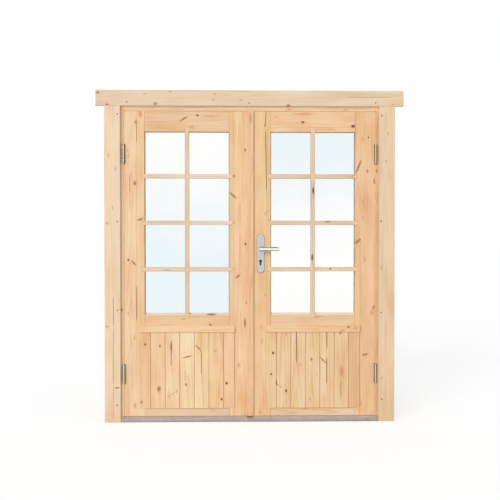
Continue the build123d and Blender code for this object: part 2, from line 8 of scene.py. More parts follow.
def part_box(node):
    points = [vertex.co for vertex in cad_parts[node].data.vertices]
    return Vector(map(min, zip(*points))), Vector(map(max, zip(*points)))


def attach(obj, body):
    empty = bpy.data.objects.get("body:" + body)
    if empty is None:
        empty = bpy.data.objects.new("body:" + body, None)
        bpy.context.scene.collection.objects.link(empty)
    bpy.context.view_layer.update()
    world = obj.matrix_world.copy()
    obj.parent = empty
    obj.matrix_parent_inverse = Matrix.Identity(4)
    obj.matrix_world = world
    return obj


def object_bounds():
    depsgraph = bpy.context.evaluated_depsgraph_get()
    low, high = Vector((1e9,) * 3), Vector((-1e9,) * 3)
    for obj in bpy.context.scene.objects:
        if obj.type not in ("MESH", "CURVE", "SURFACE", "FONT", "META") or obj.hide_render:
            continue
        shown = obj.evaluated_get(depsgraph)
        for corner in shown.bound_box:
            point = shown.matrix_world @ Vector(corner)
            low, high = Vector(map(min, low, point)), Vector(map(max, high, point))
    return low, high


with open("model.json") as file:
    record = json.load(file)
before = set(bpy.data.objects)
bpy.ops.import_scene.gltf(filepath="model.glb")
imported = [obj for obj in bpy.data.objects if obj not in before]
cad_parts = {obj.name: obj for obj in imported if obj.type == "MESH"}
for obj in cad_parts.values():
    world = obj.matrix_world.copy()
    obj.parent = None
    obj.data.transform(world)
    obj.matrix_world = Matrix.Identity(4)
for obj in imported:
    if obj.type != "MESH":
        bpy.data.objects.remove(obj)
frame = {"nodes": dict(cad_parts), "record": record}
cadBox = [list(corner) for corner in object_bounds()]
nodes = frame["nodes"]
slotOf = {row["node"]: row["material_slot"] for row in frame["record"]["subparts"]}
outward, inward = (0, -1, 0), (0, 1, 0)
leafGap = 0.004  # between a leaf and the frame round it
print("frame loaded:", len(nodes), "nodes")


class Wire:  # a shader socket, or a bare tree while nothing is made in it yet
    def __init__(self, tree, socket=None):
        self.tree = tree
        self.socket = socket

    def node(self, kind, settings=(), sockets=(), out=0):
        made = self.tree.nodes.new("ShaderNode" + kind)
        for key, value in dict(settings).items():
            if key == "stops":
                fillRamp(made.color_ramp, value)
            elif key == "steps":
                made.color_ramp.interpolation = value
            else:
                setattr(made, key, value)
        for key, value in dict(sockets).items():
            if isinstance(value, Wire):
                self.tree.links.new(value.socket, made.inputs[key])
            else:
                made.inputs[key].default_value = value
        return Wire(self.tree, made.outputs[out] if made.outputs else None)

    def other(self, out):  # another output of the same node
        return Wire(self.tree, self.socket.node.outputs[out])

    def calc(self, operation, *terms):
        return self.node("Math", {"operation": operation}, dict(enumerate(terms)))

    def __add__(self, term):
        return self.calc("ADD", self, term)

    def __radd__(self, term):
        return self.calc("ADD", term, self)

    def __sub__(self, term):
        return self.calc("SUBTRACT", self, term)

    def __rsub__(self, term):
        return self.calc("SUBTRACT", term, self)

    def __mul__(self, term):
        return self.calc("MULTIPLY", self, term)

    def __truediv__(self, term):
        return self.calc("DIVIDE", self, term)


def fillRamp(ramp, stops):
    while len(ramp.elements) < len(stops):
        ramp.elements.new(0.5)
    for element, (place, colour) in zip(ramp.elements, stops):
        element.position = place
        element.color = colour


def paint(red, green, blue):  # 0-255 screen values to the linear colour that a shader takes
    channels = [value / 255 for value in (red, green, blue)]
    return tuple(c / 12.92 if c <= 0.04045 else ((c + 0.055) / 1.055) ** 2.4 for c in channels) + (1.0,)


def newFinish(name):
    material = bpy.data.materials.new(name)
    material.use_nodes = True
    material.node_tree.nodes.clear()
    return material, Wire(material.node_tree)


def ease(value, low, high):  # smooth step from 0 at low to 1 at high
    return value.node("MapRange", {"interpolation_type": "SMOOTHSTEP"},
                      {"Value": value, "From Min": low, "From Max": high})


def least(first, second):
    return first.calc("MINIMUM", first, second)


def most(first, second):
    return first.calc("MAXIMUM", first, second)


def distance(value):
    return value.calc("ABSOLUTE", value)


def mixed(factor, first, second, how="MIX"):
    return factor.node("Mix", {"data_type": "RGBA", "blend_type": how}, {0: factor, 6: first, 7: second}, 2)


def multiplied(first, second):
    settings = {"data_type": "RGBA", "blend_type": "MULTIPLY"}
    return first.node("Mix", settings, {0: 1.0, 6: first, 7: second}, 2)


def axisOf(place, axis):
    return place.node("SeparateXYZ", {}, {0: place}, "xyz".index(axis))


def noise(place, scale, detail, rough):  # scale counts features for each metre along the three axes
    spread = place.node("Mapping", {}, {"Vector": place, "Scale": scale})
    return place.node("TexNoise", {}, {"Vector": spread, "Scale": 1.0, "Detail": detail, "Roughness": rough})


def dress(piece, material):
    piece.data.materials.clear()
    piece.data.materials.append(material)


arrisLook = {"weld": 0.00002, "segments": 2, "edgeAngle": 35.0,
             "timber": 0.0009, "metal": 0.0005, "seal": 0.0006}


def eased(piece, width):  # rounded arrises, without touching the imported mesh
    weld = piece.modifiers.new("weld", "WELD")
    weld.merge_threshold = arrisLook["weld"]
    arris = piece.modifiers.new("arris", "BEVEL")
    arris.width = width
    arris.segments = arrisLook["segments"]
    arris.limit_method = "ANGLE"
    arris.angle_limit = math.radians(arrisLook["edgeAngle"])
    evened = piece.modifiers.new("evened", "WEIGHTED_NORMAL")
    evened.keep_sharp = True


# timber: rings round a pith, pushed aside by knots, then the marks that each piece carries, with painted
# shade along seams and painted light on shaded strips

toneStops = (0.0, 0.42, 0.72, 1.0)
timberTones = {  # from pale early wood to dark late wood
    "leaf": ((246, 214, 175), (238, 199, 156), (225, 179, 133), (194, 142, 96)),
    "bar": ((238, 218, 191), (228, 203, 171), (214, 184, 149), (182, 142, 104)),
    "frame": ((236, 200, 158), (224, 183, 138), (207, 162, 116), (174, 126, 84)),
    "casing": ((245, 222, 193), (236, 207, 174), (224, 190, 153), (192, 150, 110)),
}
grainLook = {
    "year": 0.0034,  # mean width of a growth ring
    "unevenYears": 2.4,
    "unevenScale": 55.0,
    "unevenDetail": 1.0,
    "wander": 0.018,
    "ripple": 0.012,
    "rise": 0.006,  # rings climb along the trunk
    "lateRise": (0.2, 0.84),  # part of a year in which late wood forms
    "lateFall": (0.88, 1.0),
    "late": 0.24,  # weights of late wood, streaks, blotches and fibres
    "streak": 0.7,
    "blotch": 0.85,
    "fibre": 0.26,
    "level": 0.3,
    "rosy": paint(252, 243, 240),
    "rosyRange": (0.5, 0.7),
    "golden": paint(251, 252, 240),
    "goldenRange": (0.5, 0.68),
    "rough": 0.64,
    "lateSheen": 0.1,
    "fibreRough": 0.14,
    "lateHeight": 0.3,
    "fibreHeight": 0.5,
    "streakHeight": 0.2,
    "bump": 0.3,
    "bumpDepth": 0.0006,
    "ior": 1.45,
    "specular": 0.3,
    "seedDepth": 0.37,  # shares of a seed by which it shifts the grain
    "seedAlong": 1.9,
}
grainNoise = {  # features for each metre across, deep and along the grain, then detail and roughness
    "wander": ((2.2, 2.2, 0.9), 2.0, 0.5),
    "ripple": ((3.0, 3.0, 1.3), 3.0, 0.5),
    "streak": ((50.0, 50.0, 1.5), 4.0, 0.6),
    "blotch": ((14.0, 14.0, 3.6), 3.0, 0.5),
    "fibre": ((1100.0, 1100.0, 16.0), 2.0, 0.5),
    "rosy": ((10.0, 10.0, 3.2), 2.0, 0.5),
    "golden": ((7.0, 7.0, 1.7), 3.0, 0.5),
    "wobble": ((160.0, 160.0, 90.0), 3.0, 0.5),
}
boardLook = {"pithSpread": 0.12, "depthSpread": 3.7, "joint": (0.0012, 0.0036), "jointWeight": 0.18}
lamellaLook = {"edge": (0.98, 1.0), "glue": (0.0004, 0.0022), "glueWeight": 0.28}
knotKinds = {
    "pins": {"heart": paint(116, 77, 48), "rim": paint(86, 56, 34), "weight": 0.95, "soft": 0.5,
             "outline": 0.75, "halo": 0.5},
    "knots": {"heart": paint(168, 120, 78), "rim": paint(130, 89, 56), "weight": 0.8, "soft": 0.35,
              "outline": 0.4, "halo": 0.55},
    "faint": {"heart": paint(204, 155, 109), "rim": paint(184, 136, 92), "weight": 0.6, "soft": 0.1,
              "outline": 0.1, "halo": 0.4},
}
knotShape = {
    "roundLength": 1.25,  # a round knot's length along the grain for its size
    "push": 0.75,
    "pushReach": (0.5, 4.5),
    "edge": 1.2,
    "rimRise": (0.45, 0.85),
    "rimFall": (0.85, 1.35),
    "haloReach": (0.2, 1.0),
    "haloSway": 0.5,
    "ringCount": 22,
    "ringDepth": 0.25,
    "height": 0.6,
    "sheen": 0.14,
}
# round marks colour the wood along the grain, long ones beside them
haloStretch = {3: (1.9, 3.2), 5: (2.3, 1.25)}
# the pale weight is for painted light, the seam weight for painted shade along the seams
markLook = {
    "softSide": (0.3, 1.0),
    "wobble": 0.7,
    "endFade": 0.985,
    "pale": 0.85,
    "warm": 0.85,
    "stain": 0.75,
    "stainSway": 0.5,
    "stainBlotch": 0.5,
    "stainRange": (0.35, 0.9),
    "seam": 0.55,
    "seamDepth": 0.4,
    "crack": 0.92,
    "crackSway": 0.7,
    "crackFade": 0.72,
    "crackDepth": 0.6,
}
# pale is a painted light colour; seam colours the board joints and glue lines, and is also painted shade
# along the seams
markTones = {"halo": paint(218, 163, 112), "crack": paint(86, 55, 31), "seam": paint(172, 126, 84),
             "stain": paint(196, 138, 92), "pale": paint(243, 227, 202)}
plain = (1.0, 1.0, 1.0)


def drawn(flat, mark, grain, stretch=(1.0, 1.0)):  # place measured from a mark's middle, 1 at its edge
    *ends, halfWidth = mark
    start, end = Vector(ends[:2]), Vector(ends[-2:])
    if grain == "x":
        start, end = start.yx, end.yx
    run = end - start
    middle = (start + end) / 2
    halfLength = run.length / 2 if len(ends) == 4 else halfWidth * knotShape["roundLength"]
    return flat.node("Mapping", {"vector_type": "TEXTURE"},
                     {"Vector": flat, "Location": (middle.x, middle.y, 0.0),
                      "Rotation": (0.0, 0.0, -math.atan2(run.x, run.y)),
                      "Scale": (halfWidth * stretch[0], halfLength * stretch[1], 1.0)})


def lengthOf(local):
    return local.node("VectorMath", {"operation": "LENGTH"}, {0: local}, 1)


def strips(flat, marks, grain, sway=0.0, fade=markLook["endFade"]):  # 1 inside straight strips
    covered = None
    for mark in marks:
        local = drawn(flat, mark, grain)
        side = local.node("SeparateXYZ", {}, {0: local})
        between = 1 - ease(distance(side + sway), *markLook["softSide"])
        inside = between * (1 - ease(distance(side.other(1)), fade, 1.0))
        covered = inside if covered is None else most(covered, inside)
    return covered


def spindles(flat, marks, grain, sway):  # 1 inside long ovals with ragged sides
    covered = None
    for mark in marks:
        inside = 1 - ease(lengthOf(drawn(flat, mark, grain)) + sway, *markLook["softSide"])
        covered = inside if covered is None else most(covered, inside)
    return covered


def toneRamp(tone, kind, tint):  # the colours of a kind of timber, each channel scaled
    scale = tint + (1.0,)
    stops = [(spot, tuple(channel * share for channel, share in zip(paint(*shade), scale)))
             for spot, shade in zip(toneStops, timberTones[kind])]
    return tone.node("ValToRGB", {"stops": stops}, {"Fac": tone})


# the push of all knots on the grain, and how near each kind's knots and halos are
def knotFields(flat, look, grain):
    shift = None
    nearest, haloReach = {}, {}
    for kind in knotKinds:
        for mark in look.get(kind, ()):
            local = drawn(flat, mark, grain)
            reach = lengthOf(local)
            side = local.node("SeparateXYZ", {}, {0: local})
            push = side * (1 - ease(reach, *knotShape["pushReach"])) * (mark[-1] * knotShape["push"])
            shift = push if shift is None else shift + push
            nearest[kind] = reach if kind not in nearest else least(nearest[kind], reach)
            around = lengthOf(drawn(flat, mark, grain, haloStretch[len(mark)]))
            haloReach[kind] = around if kind not in haloReach else least(haloReach[kind], around)
    return shift, nearest, haloReach


def lateWood(grainPlace, across, depth, along, pith, seed):  # 1 in the dark part of each growth ring
    wander = (noise(grainPlace, *grainNoise["wander"]) - 0.5) * grainLook["wander"]
    fromPith = across + wander - pith[0]
    fromPithDepth = depth - pith[1]
    squares = fromPith * fromPith + fromPithDepth * fromPithDepth
    ripple = (noise(grainPlace, *grainNoise["ripple"]) - 0.5) * grainLook["ripple"]
    radius = squares.calc("SQRT", squares) + along * grainLook["rise"] + ripple
    uneven = radius.node("TexNoise", {"noise_dimensions": "1D"},
                         {"W": radius + seed, "Scale": grainLook["unevenScale"],
                          "Detail": grainLook["unevenDetail"]})
    years = radius / grainLook["year"] + uneven * grainLook["unevenYears"]
    ofYear = years.calc("FRACT", years)
    return ease(ofYear, *grainLook["lateRise"]) * (1 - ease(ofYear, *grainLook["lateFall"]))


def timber(name, look):
    material, bench = newFinish(name)
    grain, seed = look["grain"], look["seed"]
    place = bench.node("TexCoord", out="Object")
    x = place.node("SeparateXYZ", {}, {0: place})
    depth = x.other(1)
    across, along = (x, x.other(2)) if grain == "z" else (x.other(2), x)
    flat = across.node("CombineXYZ", {}, {0: across, 1: along})
    pith = look["pith"]
    if "boards" in look:  # tongue and groove boards, each cut from another tree
        start, pitch = look["boards"]
        count = (across - start) / pitch
        index = count.calc("FLOOR", count)
        draw = index.node("TexWhiteNoise", {"noise_dimensions": "1D"}, {"W": index + seed})
        farther = draw * boardLook["depthSpread"]
        pith = ((index + 0.5) * pitch + start + (draw - 0.5) * boardLook["pithSpread"], farther + pith[1])
        depth = depth + farther

    shift, nearest, haloReach = knotFields(flat, look, grain)
    grainAcross = across if shift is None else across - shift
    grainPlace = across.node("CombineXYZ", {}, {
        0: grainAcross + seed,
        1: depth + seed * grainLook["seedDepth"],
        2: along + seed * grainLook["seedAlong"]})
    late = lateWood(grainPlace, grainAcross, depth, along, pith, seed)
    streak = noise(grainPlace, *grainNoise["streak"])
    blotch = noise(grainPlace, *grainNoise["blotch"])
    fibre = noise(grainPlace, *grainNoise["fibre"])
    mottle = (late * grainLook["late"] + (streak - 0.5) * grainLook["streak"]
              + (blotch - 0.5) * grainLook["blotch"] + (fibre - 0.5) * grainLook["fibre"])
    tone = mottle * look.get("calm", 1.0) + grainLook["level"]
    colour = toneRamp(tone, look["tones"], look.get("tint", plain))
    rosy = ease(noise(grainPlace, *grainNoise["rosy"]), *grainLook["rosyRange"])
    golden = ease(noise(grainPlace, *grainNoise["golden"]), *grainLook["goldenRange"])
    colour = mixed(rosy, colour, grainLook["rosy"], "MULTIPLY")
    colour = mixed(golden, colour, grainLook["golden"], "MULTIPLY")
    if "boards" in look:
        stops = [(number / len(look["tints"]), tint + (1.0,)) for number, tint in enumerate(look["tints"])]
        boardTint = index.node("ValToRGB", {"stops": stops, "steps": "CONSTANT"},
                               {"Fac": (index + 0.5) / len(stops)})
        colour = multiplied(colour, boardTint)
        inBoard = count - index
        joint = 1 - ease(least(inBoard, 1 - inBoard) * pitch, *boardLook["joint"])
        colour = mixed(joint * boardLook["jointWeight"], colour, markTones["seam"])
    if "lamella" in look:  # a second lamella glued on beside the glass
        middle, half, tint = look["lamella"]
        fromMiddle = distance(across - middle)
        onLamella = 1 - ease(fromMiddle / half, *lamellaLook["edge"])
        colour = mixed(onLamella, colour, tint + (1.0,), "MULTIPLY")
        glueLine = 1 - ease(distance(fromMiddle - half), *lamellaLook["glue"])
        colour = mixed(glueLine * lamellaLook["glueWeight"], colour, markTones["seam"])
    rough = grainLook["rough"] - late * grainLook["lateSheen"] + (fibre - 0.5) * grainLook["fibreRough"]
    height = (late * grainLook["lateHeight"] + fibre * grainLook["fibreHeight"]
              + streak * grainLook["streakHeight"])

    wobble = (noise(grainPlace, *grainNoise["wobble"]) - 0.5) * markLook["wobble"]
    # painted light: pale strips lighten the shaded underside of the head casing, the head jamb and the
    # sill's top
    if "pale" in look:
        colour = mixed(strips(flat, look["pale"], grain) * markLook["pale"], colour, markTones["pale"])
    if "warm" in look:  # the bars take the leaf's warmer tones away from the panes
        awayFromPanes = strips(flat, look["warm"], grain)
        colour = mixed(awayFromPanes * markLook["warm"], colour, toneRamp(tone, "leaf", plain))
    if "stains" in look:
        cloud = spindles(flat, look["stains"], grain, wobble * markLook["stainSway"])
        broken = ease(streak + blotch * markLook["stainBlotch"], *markLook["stainRange"])
        colour = mixed(cloud * broken * markLook["stain"], colour, markTones["stain"])
    for kind, reach in nearest.items():
        knot = knotKinds[kind]
        ragged = reach + wobble
        core = (1 - ease(ragged, knot["soft"], knotShape["edge"])) * knot["weight"]
        rim = ease(ragged, *knotShape["rimRise"]) * (1 - ease(ragged, *knotShape["rimFall"]))
        halo = 1 - ease(haloReach[kind] + wobble * knotShape["haloSway"], *knotShape["haloReach"])
        wave = ragged.calc("SINE", ragged * knotShape["ringCount"])
        rings = wave * knotShape["ringDepth"] + knotShape["ringDepth"]
        colour = mixed(halo * knot["halo"], colour, markTones["halo"])
        colour = mixed(core, colour, mixed(rings, knot["heart"], knot["rim"]))
        colour = mixed(rim * knot["outline"], colour, knot["rim"])
        height = height * (1 - core) + core * knotShape["height"]
        rough = rough - core * knotShape["sheen"]
    # painted shade: dark lines in the joint gaps between rails and stiles, and shadows under and beside the
    # proud panels
    if "shadeLines" in look:
        seamShade = strips(flat, look["shadeLines"], grain)
        colour = mixed(seamShade * markLook["seam"], colour, markTones["seam"])
        height = height - seamShade * markLook["seamDepth"]
    if "cracks" in look:
        split = strips(flat, look["cracks"], grain, wobble * markLook["crackSway"], markLook["crackFade"])
        colour = mixed(split * markLook["crack"], colour, markTones["crack"])
        height = height - split * markLook["crackDepth"]

    normal = height.node("Bump", {}, {"Strength": grainLook["bump"], "Distance": grainLook["bumpDepth"],
                                      "Height": height})
    shader = bench.node("BsdfPrincipled", {}, {
        "Base Color": colour, "Roughness": rough, "Normal": normal, "IOR": grainLook["ior"],
        "Specular IOR Level": grainLook["specular"]})
    bench.node("OutputMaterial", {}, {"Surface": shader})
    return material


# places are x and z in metres
# a round mark has one point and its size, a long one has two points and half its width
goldenLamella = (0.99, 0.985, 0.92)
rosyLamella = (0.985, 0.94, 0.90)
timberLooks = {
    "left_hinge_stile": {
        "tones": "leaf", "grain": "z", "pith": (-0.70, 0.11), "tint": (1.02, 1.07, 1.13),
        "lamella": (-0.6455, 0.0235, goldenLamella),
        "pins": [(-0.718, 0.957, 0.005)],
        "knots": [(-0.672, 1.770, 0.007), (-0.679, 1.410, 0.009), (-0.664, 1.190, -0.630, 1.203, 0.006),
                  (-0.699, 0.953, -0.672, 0.925, 0.005)],
        "faint": [(-0.718, 0.640, 0.006), (-0.683, 0.496, 0.007), (-0.681, 0.094, 0.008),
                  (-0.720, 1.604, 0.005), (-0.717, 1.572, 0.005)],
        "stains": [(-0.645, 1.845, -0.645, 1.790, 0.018)],
        "cracks": [(-0.669, 1.770, -0.669, 1.643, 0.0020), (-0.709, 1.477, -0.709, 1.349, 0.0018),
                   (-0.669, 0.813, -0.669, 0.589, 0.0029)]},
    "left_meeting_stile": {
        "tones": "leaf", "grain": "z", "pith": (-0.06, 0.09),
        "lamella": (-0.1085, 0.0135, goldenLamella),
        "pins": [(-0.027, 1.053, 0.005), (-0.020, 0.704, 0.004)],
        "knots": [(-0.029, 1.606, 0.006), (-0.120, 1.357, -0.082, 1.322, 0.006), (-0.094, 1.453, 0.006),
                  (-0.085, 0.848, -0.058, 0.872, 0.006), (-0.030, 0.610, -0.030, 0.556, 0.006)],
        "faint": [(-0.094, 1.178, 0.006), (-0.094, 0.903, 0.006), (-0.068, 0.331, 0.009),
                  (-0.033, 0.040, 0.006)],
        "shadeLines": [(-0.0895, 0.079, -0.0895, 0.550, 0.0024)]},
    "right_meeting_stile": {
        "tones": "leaf", "grain": "z", "pith": (0.13, 0.10),
        "lamella": (0.110, 0.012, goldenLamella),
        "knots": [(0.088, 1.752, 0.004)],
        "faint": [(0.092, 1.229, 0.006), (0.105, 1.245, 0.006), (0.090, 0.749, 0.006), (0.067, 0.556, 0.006),
                  (0.058, 0.053, 0.006)],
        "stains": [(0.071, 0.505, 0.071, 0.440, 0.006)],
        "cracks": [(0.096, 1.840, 0.088, 1.735, 0.0029), (0.091, 1.750, 0.098, 1.338, 0.0029)]},
    "right_hinge_stile": {
        "tones": "leaf", "grain": "z", "pith": (0.64, 0.12), "tint": (0.99, 0.955, 0.955),
        "lamella": (0.638, 0.016, goldenLamella),
        "pins": [(0.702, 1.683, 0.004)],
        "knots": [(0.626, 1.467, 0.661, 1.551, 0.006), (0.624, 1.053, 0.656, 1.082, 0.008),
                  (0.696, 1.484, 0.006), (0.668, 0.390, 0.703, 0.398, 0.006),
                  (0.737, 1.440, 0.737, 1.405, 0.004), (0.738, 0.690, 0.732, 0.660, 0.005)],
        "faint": [(0.670, 1.673, 0.007), (0.659, 0.105, 0.008), (0.682, 0.961, 0.008), (0.725, 0.645, 0.012),
                  (0.668, 1.314, 0.668, 1.290, 0.004), (0.668, 1.217, 0.668, 1.195, 0.004)],
        "shadeLines": [(0.6555, 0.527, 0.6555, 0.575, 0.0032), (0.6545, 0.079, 0.6545, 0.527, 0.002)]},
    "left_top_rail": {
        "tones": "leaf", "grain": "x", "pith": (1.80, 0.12), "tint": (0.945, 0.967, 0.986),
        "lamella": (1.733, 0.019, rosyLamella),
        "pins": [(-0.309, 1.810, 0.005)],
        "knots": [(-0.411, 1.777, -0.369, 1.803, 0.005)],
        "faint": [(-0.341, 1.742, 0.009)],
        "stains": [(-0.300, 1.806, -0.181, 1.802, 0.006)],
        "shadeLines": [(-0.6215, 1.714, -0.6215, 1.834, 0.0018), (-0.1225, 1.714, -0.1225, 1.834, 0.0018)]},
    "right_top_rail": {
        "tones": "leaf", "grain": "x", "pith": (1.73, 0.11),
        "lamella": (1.724, 0.016, goldenLamella),
        "pins": [(0.313, 1.771, 0.006), (0.612, 1.749, 0.008)],
        "faint": [(0.156, 1.803, 0.006)],
        "stains": [(0.271, 1.770, 0.367, 1.771, 0.003), (0.226, 1.821, 0.419, 1.822, 0.010)],
        "shadeLines": [(0.1225, 1.714, 0.1225, 1.834, 0.0018), (0.6215, 1.714, 0.6215, 1.834, 0.0018)]},
    "left_mid_rail": {
        "tones": "leaf", "grain": "x", "pith": (0.66, 0.10), "tint": (0.96, 0.945, 0.985),
        "pins": [(-0.235, 0.572, 0.005)],
        "knots": [(-0.258, 0.634, -0.200, 0.634, 0.005)],
        "faint": [(-0.395, 0.608, 0.006)],
        "stains": [(-0.559, 0.573, -0.431, 0.576, 0.005)],
        # painted light on the sloped sill's top
        "pale": [(-0.622, 0.636, -0.122, 0.636, 0.008)],
        "shadeLines": [(-0.6215, 0.569, -0.6215, 0.640, 0.0018), (-0.1225, 0.569, -0.1225, 0.640, 0.0024)]},
    "right_mid_rail": {
        "tones": "leaf", "grain": "x", "pith": (0.56, 0.12), "tint": (0.96, 0.975, 1.045),
        "faint": [(0.357, 0.616, 0.434, 0.621, 0.006)],
        # painted light on the sloped sill's top
        "pale": [(0.122, 0.636, 0.622, 0.636, 0.008)],
        "shadeLines": [(0.1225, 0.569, 0.1225, 0.640, 0.0024), (0.6215, 0.569, 0.6215, 0.640, 0.0014)]},
    "left_bottom_rail": {
        "tones": "leaf", "grain": "x", "pith": (0.09, 0.11), "tint": (0.90, 0.94, 1.04),
        "stains": [(-0.240, 0.067, -0.200, 0.067, 0.005)],
        "shadeLines": [(-0.622, 0.0765, -0.122, 0.0765, 0.003), (-0.1225, 0.034, -0.1225, 0.079, 0.0018)]},
    "right_bottom_rail": {
        "tones": "leaf", "grain": "x", "pith": (0.05, 0.12), "tint": (0.92, 0.98, 1.13),
        "stains": [(0.300, 0.072, 0.360, 0.072, 0.004)],
        "shadeLines": [(0.122, 0.0765, 0.622, 0.0765, 0.003), (0.1225, 0.034, 0.1225, 0.079, 0.0018),
                  (0.6215, 0.034, 0.6215, 0.079, 0.0018)]},
    "left_panel_cap": {
        "tones": "leaf", "grain": "x", "pith": (0.56, 0.06), "tint": (1.03, 1.05, 1.06), "calm": 0.7},
    "right_panel_cap": {
        "tones": "leaf", "grain": "x", "pith": (0.54, 0.07), "tint": (0.99, 1.01, 0.99), "calm": 0.8,
        "knots": [(0.584, 0.559, 0.006)],
        "faint": [(0.530, 0.537, 0.568, 0.543, 0.006)],
        "stains": [(0.600, 0.553, 0.652, 0.553, 0.014)]},
    "cover_strip": {
        "tones": "leaf", "grain": "z", "pith": (0.01, 0.05), "tint": (0.97, 0.93, 0.91),
        "stains": [(0.003, 1.850, 0.003, 1.740, 0.014)]},
    "left_vertical_bar": {"tones": "bar", "grain": "z", "pith": (-0.40, 0.06), "tint": (0.98, 0.93, 0.91)},
    "right_vertical_bar": {
        "tones": "bar", "grain": "z", "pith": (0.35, 0.06), "tint": (0.97, 0.96, 0.96),
        "pins": [(0.374, 1.385, 0.374, 1.350, 0.005), (0.369, 0.988, 0.369, 0.956, 0.005)],
        "stains": [(0.376, 1.441, 0.376, 1.290, 0.008), (0.370, 1.010, 0.370, 0.930, 0.007)]},
    "left_panel_boards": {
        "tones": "leaf", "grain": "z", "pith": (0.0, 0.10), "boards": (-0.673, 0.086),
        "tint": (1.06, 1.15, 1.21),
        "tints": [(0.94, 0.865, 0.825), (0.95, 0.885, 0.845), (0.99, 0.97, 0.98), plain, (0.99, 0.99, 0.96),
                  (0.98, 0.96, 0.93), (0.95, 0.875, 0.835)],
        "pins": [(-0.619, 0.458, 0.005), (-0.139, 0.227, 0.006), (-0.168, 0.132, 0.005)],
        "knots": [(-0.533, 0.449, 0.006), (-0.466, 0.480, -0.466, 0.405, 0.0045),
                  (-0.398, 0.377, -0.342, 0.391, 0.004), (-0.322, 0.454, -0.286, 0.415, 0.0035),
                  (-0.539, 0.194, 0.010), (-0.379, 0.219, 0.006), (-0.642, 0.117, 0.006)],
        "faint": [(-0.206, 0.418, 0.006), (-0.479, 0.149, 0.005), (-0.434, 0.181, 0.006)],
        "cracks": [(-0.465, 0.478, -0.468, 0.320, 0.0026), (-0.288, 0.420, -0.288, 0.270, 0.0022),
                   (-0.383, 0.306, -0.381, 0.235, 0.0013), (-0.475, 0.152, -0.438, 0.178, 0.0013)]},
    "right_panel_boards": {
        "tones": "leaf", "grain": "z", "pith": (0.0, 0.10), "boards": (0.071, 0.086),
        "tint": (0.99, 1.045, 1.075),
        "tints": [(0.97, 0.95, 0.90), (0.99, 0.98, 0.95), plain, (0.98, 0.98, 0.97), (0.98, 0.99, 0.98),
                  (0.98, 0.98, 0.94), (0.90, 0.79, 0.71)],
        "pins": [(0.137, 0.405, 0.006), (0.125, 0.280, 0.005), (0.214, 0.179, 0.006)],
        "knots": [(0.365, 0.367, 0.006), (0.415, 0.381, 0.457, 0.339, 0.0038), (0.537, 0.523, 0.006)],
        "faint": [(0.396, 0.275, 0.004), (0.296, 0.336, 0.006), (0.358, 0.130, 0.007),
                  (0.215, 0.530, 0.215, 0.500, 0.004)],
        "stains": [(0.543, 0.345, 0.545, 0.245, 0.014), (0.542, 0.270, 0.539, 0.110, 0.008)],
        "cracks": [(0.276, 0.580, 0.277, 0.330, 0.0035), (0.457, 0.580, 0.457, 0.425, 0.0033),
                   (0.457, 0.390, 0.456, 0.215, 0.0029), (0.158, 0.245, 0.158, 0.210, 0.0031),
                   (0.158, 0.227, 0.190, 0.195, 0.0016)]},
    "left_casing": {
        "tones": "casing", "grain": "z", "pith": (-0.83, 0.10), "tint": (1.02, 1.02, 1.02), "calm": 0.75,
        "knots": [(-0.795, 0.205, -0.768, 0.205, 0.005)],
        "faint": [(-0.852, 1.173, -0.825, 1.173, 0.007), (-0.852, 0.566, -0.828, 0.566, 0.007),
                  (-0.790, 1.494, 0.006), (-0.806, 1.265, 0.006), (-0.831, 1.570, 0.007)],
        "cracks": [(-0.804, 0.750, -0.804, 0.560, 0.0022), (-0.804, 0.570, -0.805, 0.215, 0.0014),
                   (-0.805, 0.225, -0.806, 0.005, 0.0012)]},
    "right_casing": {
        "tones": "casing", "grain": "z", "pith": (0.80, 0.11), "tint": (0.94, 0.92, 0.89), "calm": 0.75,
        "faint": [(0.805, 1.540, 0.006), (0.814, 1.703, 0.006), (0.778, 0.913, 0.006),
                  (0.781, 0.257, 0.006)]},
    "head_casing": {
        "tones": "casing", "grain": "x", "pith": (1.93, 0.10), "tint": (0.93, 0.95, 0.965), "calm": 0.75,
        "pins": [(-0.838, 1.869, 0.004)],
        "knots": [(-0.892, 1.938, 0.007), (-0.555, 1.874, 0.008), (0.225, 1.867, 0.007)],
        "faint": [(-0.614, 1.932, 0.006), (-0.469, 1.946, 0.006), (-0.207, 1.932, 0.006),
                  (-0.214, 1.899, 0.006), (-0.055, 1.899, 0.005), (0.842, 1.872, 0.006)],
        # painted light on the casing's shaded underside
        "pale": [(-0.906, 1.8625, 0.906, 1.8625, 0.0022)],
        "cracks": [(0.563, 1.916, 0.852, 1.917, 0.0014)]},
    # painted light: the paler casing tones lift the shade that the left casing casts on this jamb
    "left_jamb": {"tones": "casing", "grain": "z", "pith": (-0.78, 0.13), "knots": [(-0.758, 0.663, 0.006)]},
    "right_jamb": {
        "tones": "frame", "grain": "z", "pith": (0.76, 0.14), "tint": (0.92, 0.96, 0.98),
        "knots": [(0.751, 1.484, 0.006)]},
    # painted light: leaf tones, a light tint and pale strips lift the shade under the head casing and above
    # the leaf
    "head_jamb": {
        "tones": "leaf", "grain": "x", "pith": (1.87, 0.13), "tint": (1.03, 1.06, 1.12),
        "pale": [(-0.746, 1.8620, 0.746, 1.8620, 0.006), (-0.746, 1.838, 0.746, 1.838, 0.0015)],
        "faint": [(0.234, 1.845, 0.006), (0.566, 1.846, 0.006)]},
    "left_glazing_beads": {"tones": "leaf", "grain": "z", "pith": (-0.37, 0.08)},
    "right_glazing_beads": {"tones": "leaf", "grain": "z", "pith": (0.37, 0.08)},
}
crossBarMarks = {
    "left_lower": {"faint": [(-0.520, 0.898, -0.460, 0.898, 0.004)]},
    "left_middle": {"tint": (1.03, 1.04, 1.2)},
    "left_upper": {"tint": (1.01, 1.11, 1.26)},
    "right_upper": {"tint": (0.97, 0.93, 0.92), "faint": [(0.613, 1.456, 0.005)]},
    "right_middle": {"tint": (0.94, 0.93, 0.89), "knots": [(0.445, 1.184, 0.475, 1.184, 0.004)]},
    "right_lower": {"pins": [(0.476, 0.904, 0.004)]},
}
